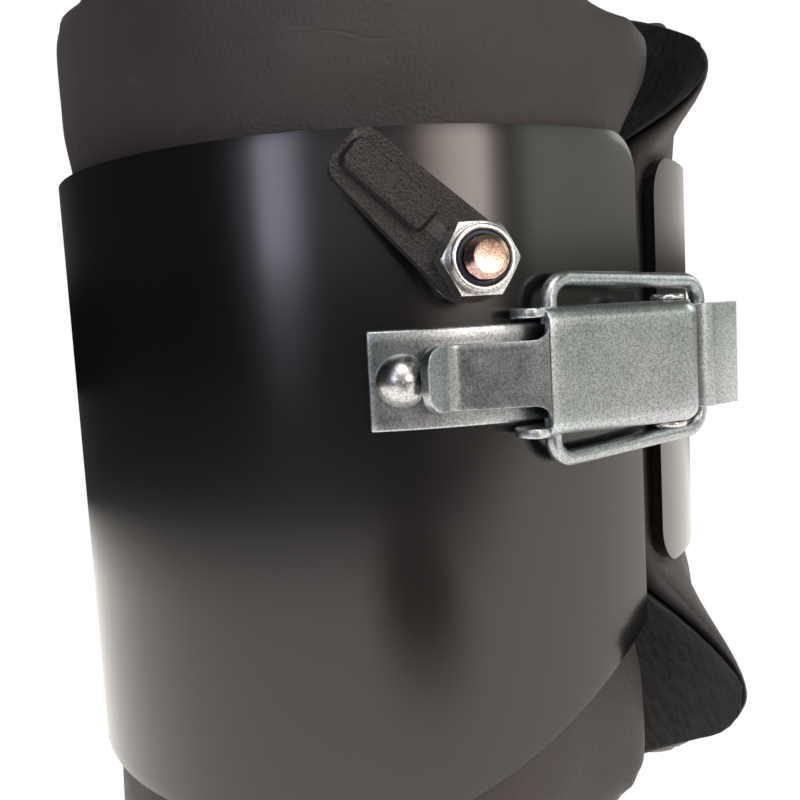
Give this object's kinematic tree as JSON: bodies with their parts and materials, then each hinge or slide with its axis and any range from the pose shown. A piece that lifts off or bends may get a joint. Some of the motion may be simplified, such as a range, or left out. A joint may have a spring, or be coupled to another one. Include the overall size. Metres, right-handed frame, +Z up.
{
  "type": "inversion boot",
  "caption": "Padded steel ankle cuff: two hinged half shells with foam pads, a wire-bail toggle latch, a swing safety lever and a hook for an exercise bar.",
  "frame": {"origin": "on the leg axis, at the plane of the pads' lower rims", "axes": "+Z up the leg towards the knee, +Y out through the bar hook, +X out through the toggle latch; the hinge is at -X"},
  "size_m": [0.1486, 0.1795, 0.1743],
  "materials": {
    "shell_paint": "gloss black powder coat",
    "pad_skin": "matte brown-grey foam skin",
    "pad_lining": "black brushed lining",
    "zinc_plate": "bluish zinc plate, fine grain",
    "bright_zinc": "bright zinc fasteners",
    "yellow_zinc": "yellow zinc bolt",
    "lever_plastic": "black textured coating",
    "nylon_ring": "dark blue nylon",
    "hook_paint": "satin black paint",
    "liner_rubber": "black rubber",
    "hinge_steel": "zinc plated hinge"
  },
  "bodies": {
    "latch_half": {"latch_shell": "shell_paint", "latch_pad": "pad_skin", "latch_pad_lining": "pad_lining", "hinge_leaf_latch_side": "hinge_steel", "hinge_rivets_latch_side": "bright_zinc", "hinge_pin": "hinge_steel", "latch_base": "zinc_plate", "latch_base_rivets": "bright_zinc", "latch_pivot_pin": "bright_zinc", "safety_bolt": "yellow_zinc", "safety_under_nut": "bright_zinc", "safety_washer": "bright_zinc", "safety_lock_nut": "bright_zinc", "lock_nut_insert": "nylon_ring"},
    "hook_half": {"hook_shell": "shell_paint", "hook_pad": "pad_skin", "hook_pad_lining": "pad_lining", "hinge_leaf_hook_side": "hinge_steel", "hinge_rivets_hook_side": "bright_zinc", "catch_plate": "zinc_plate", "catch_rivets": "bright_zinc", "bar_hook": "hook_paint", "hook_saddle": "hook_paint", "hook_liner": "liner_rubber", "hook_bolts": "bright_zinc", "hook_washers": "bright_zinc", "hook_nuts": "bright_zinc"},
    "latch_lever": {"toggle_lever": "zinc_plate"},
    "latch_bail": {"bail": "zinc_plate"},
    "safety_lever": {"safety_lever": "lever_plastic"}
  },
  "joints": [
    {"name": "boot_hinge", "type": "hinge", "parent": "latch_half", "child": "hook_half", "pos_m": [-0.0687, 0, 0.103], "axis": [0, 0, 1], "range_deg": [0, 110]},
    {"name": "latch_open", "type": "hinge", "parent": "latch_half", "child": "latch_lever", "pos_m": [0.0714, -0.0069, 0.1047], "axis": [0, 0, 1], "range_deg": [0, 100]},
    {"name": "bail_swing", "type": "hinge", "parent": "latch_lever", "child": "latch_bail", "pos_m": [0.0623, -0.0273, 0.1047], "axis": [0, 0, 1], "range_deg": [-118, 0]},
    {"name": "safety_turn", "type": "hinge", "parent": "latch_half", "child": "safety_lever", "pos_m": [0.0588, -0.04155, 0.1216], "axis": [0.8166, -0.5771, 0], "range_deg": [0, 125]}
  ],
  "couplings": [
    {"joint": "bail_swing", "follows": "latch_open", "ratio": -1.17}
  ]
}
